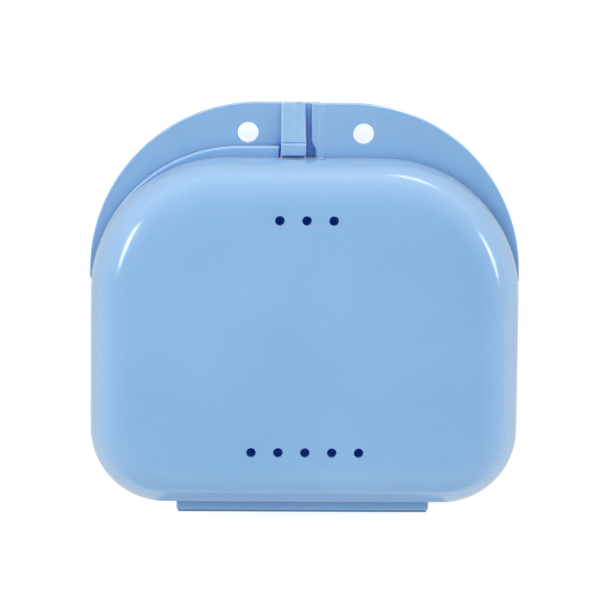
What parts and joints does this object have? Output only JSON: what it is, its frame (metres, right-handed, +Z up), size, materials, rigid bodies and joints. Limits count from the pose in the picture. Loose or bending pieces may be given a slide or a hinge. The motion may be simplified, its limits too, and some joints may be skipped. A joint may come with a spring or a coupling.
{
  "type": "denture case",
  "caption": "Hinged D-shaped clamshell case for a denture or retainer, with air holes, a living hinge at the back, a snap latch and a round front flange with hanging holes.",
  "frame": {"origin": "middle of the closed case's bounding box, on its flat bottom", "axes": "+Z up through the lid, +Y towards the flange and latch, +X to the right seen from above with the flange at the far side"},
  "size_m": [0.083, 0.08, 0.028],
  "materials": {
    "blue_plastic": "smooth gloss"
  },
  "bodies": {
    "base": {"base_shell": "blue_plastic", "base_wing": "blue_plastic", "latch_hook": "blue_plastic", "living_hinge": "blue_plastic"},
    "lid": {"lid_shell": "blue_plastic", "lid_wing": "blue_plastic"}
  },
  "joints": [
    {"name": "lid_hinge", "type": "hinge", "parent": "base", "child": "lid", "pos_m": [0, -0.04014, 0.014], "axis": [1, 0, 0], "range_deg": [0, 180], "deforming": ["living_hinge"]}
  ]
}
